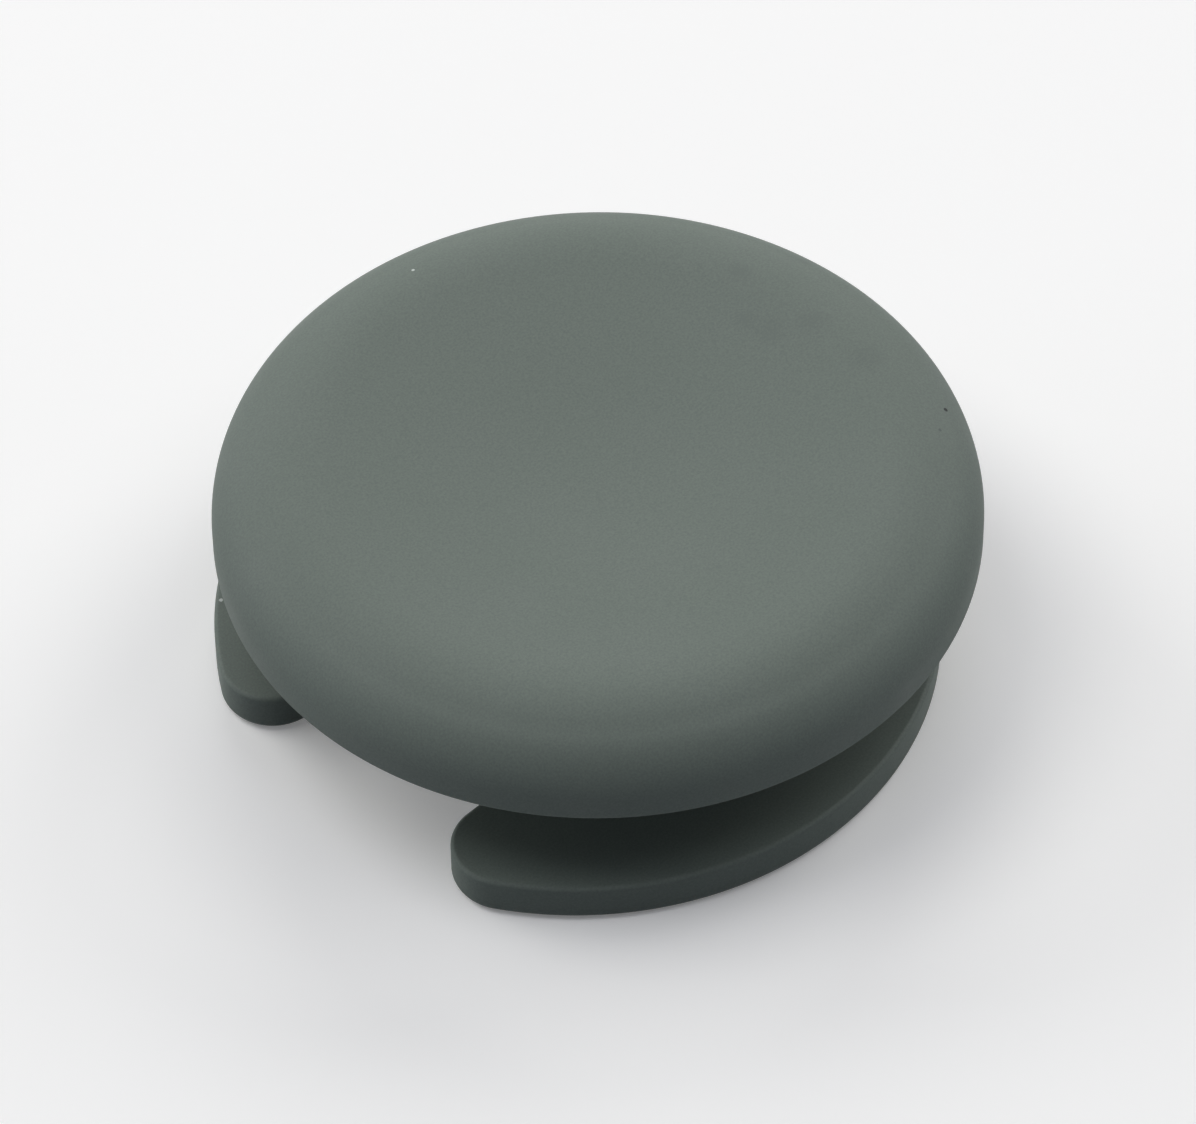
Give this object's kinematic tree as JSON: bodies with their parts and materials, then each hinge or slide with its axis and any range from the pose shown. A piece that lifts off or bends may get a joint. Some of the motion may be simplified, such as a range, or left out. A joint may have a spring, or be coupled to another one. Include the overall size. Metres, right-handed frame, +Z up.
{
  "type": "thumbstick cap",
  "caption": "Round dished thumb pad on a short neck, with wings at its foot that slip under a console's housing and a square socket for the slider's post.",
  "frame": {"origin": "on the thumb pad's axis, in the plane that the wings stand on", "axes": "+Z up along the pad's axis towards the dish; X along the two slots between the wings, Y across the wings"},
  "size_m": [0.0164, 0.0164, 0.0059],
  "materials": {
    "cap_plastic": "finely textured matte moulding, greenish grey"
  },
  "bodies": {
    "root": {"thumbstick_cap": "cap_plastic"}
  },
  "joints": []
}
